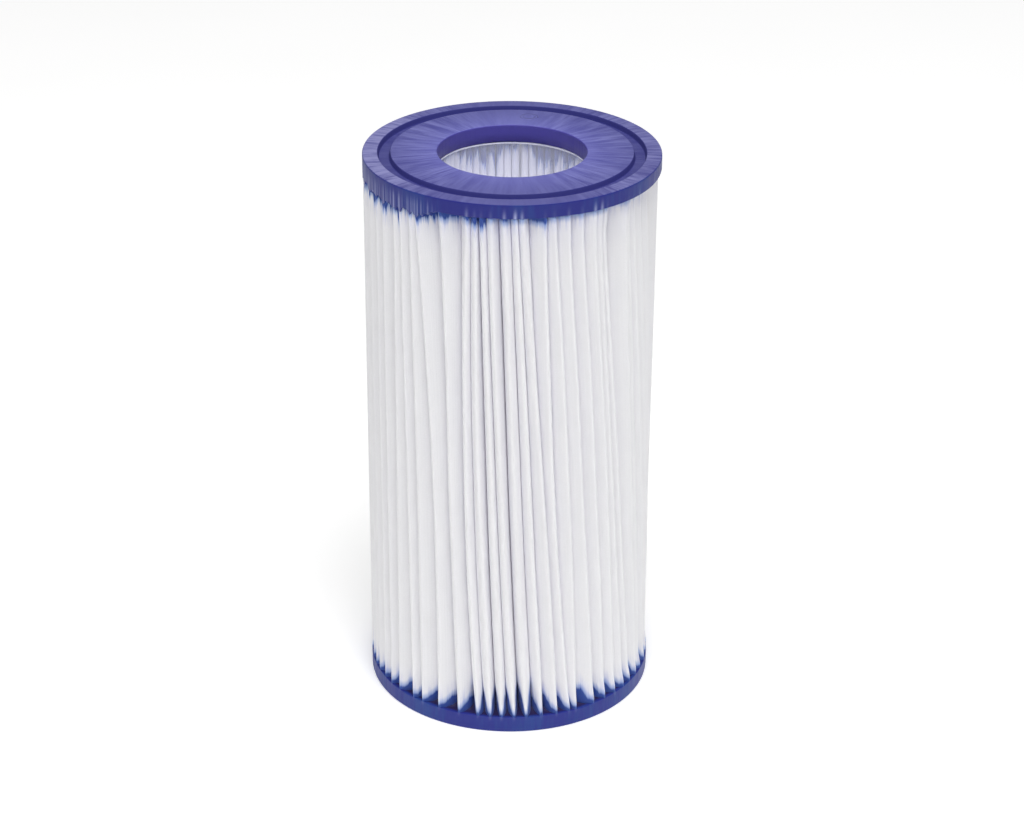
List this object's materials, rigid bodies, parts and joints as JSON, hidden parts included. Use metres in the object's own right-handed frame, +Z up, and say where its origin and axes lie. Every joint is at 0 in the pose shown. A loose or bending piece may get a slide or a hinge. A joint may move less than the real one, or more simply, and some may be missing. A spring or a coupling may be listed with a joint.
{
  "type": "pleated filter cartridge",
  "caption": "Cylindrical pleated filter element with two cast end caps, an open centre and a windowed core tube.",
  "frame": {"origin": "centre of the bottom end face", "axes": "+Z runs up the cartridge's axis; the side seam is at the back, towards +Y"},
  "size_m": [0.104, 0.104, 0.205],
  "materials": {
    "cap_vinyl": "soft cast vinyl, blue-violet, satin to dull, with faint flow streaks on the end faces",
    "media": "white spun-bonded polyester, matt, finely fibrous, stained blue next to the caps",
    "hot_melt": "cream hot-melt glue, slightly waxy",
    "core_plastic": "natural polypropylene, milky and slightly translucent"
  },
  "bodies": {
    "root": {"top_end_cap": "cap_vinyl", "bottom_end_cap": "cap_vinyl", "pleated_media": "media", "seam_bead": "hot_melt", "inner_core": "core_plastic"}
  },
  "joints": []
}
